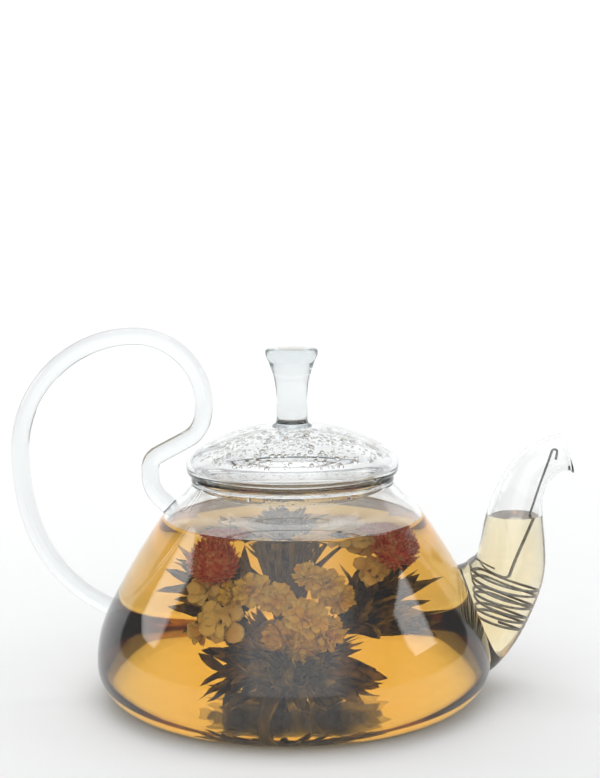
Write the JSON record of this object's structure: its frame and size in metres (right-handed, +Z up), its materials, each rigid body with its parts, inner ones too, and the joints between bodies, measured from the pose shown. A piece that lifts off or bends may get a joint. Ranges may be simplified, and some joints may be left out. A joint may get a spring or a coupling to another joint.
{
  "type": "glass teapot",
  "caption": "Clear glass teapot with a curled rod handle, a domed lid, a spring filter in the spout, and a blooming tea steeping inside.",
  "frame": {"origin": "centre of the flat foot, on the surface the pot stands on", "axes": "+Z up, handle toward -X, spout toward +X; the plane Y = 0 is the plane of symmetry of the glass"},
  "size_m": [0.1858, 0.131, 0.123],
  "materials": {
    "clear_glass": "clear blown borosilicate glass",
    "steel_wire": "drawn stainless wire",
    "tea_liquid": "clear amber tea",
    "tea_leaf": "wet rolled tea leaf",
    "cotton_thread": "twisted cotton",
    "amaranth_bracts": "dry papery bracts",
    "yellow_petals": "wet petals",
    "pale_petals": "wet pale petals"
  },
  "bodies": {
    "pot": {"vessel": "clear_glass", "spout": "clear_glass", "handle": "clear_glass", "tea": "tea_liquid", "binding_thread": "cotton_thread", "leaf_bundle": "tea_leaf", "leaves_left": "tea_leaf", "leaves_right": "tea_leaf", "leaves_back": "tea_leaf", "leaves_front": "tea_leaf", "stems": "tea_leaf", "amaranth_left": "amaranth_bracts", "amaranth_right": "amaranth_bracts", "yellow_flower_front": "yellow_petals", "yellow_flower_left": "yellow_petals", "yellow_flower_right": "yellow_petals", "pale_flower_left": "pale_petals", "pale_flower_right": "pale_petals"},
    "lid": {"lid_dome": "clear_glass", "lid_skirt": "clear_glass", "lid_knob": "clear_glass"},
    "filter": {"filter_coil": "steel_wire", "filter_tail": "steel_wire"}
  },
  "joints": [
    {"name": "lid_lift", "type": "slide", "parent": "pot", "child": "lid", "axis": [0.6225, 0, 0.7826], "range_m": [0, 0.07]},
    {"name": "filter_pull", "type": "slide", "parent": "pot", "child": "filter", "axis": [0.3173, 0, 0.9483], "range_m": [0, 0.0025], "deforming": ["filter_coil"]}
  ]
}
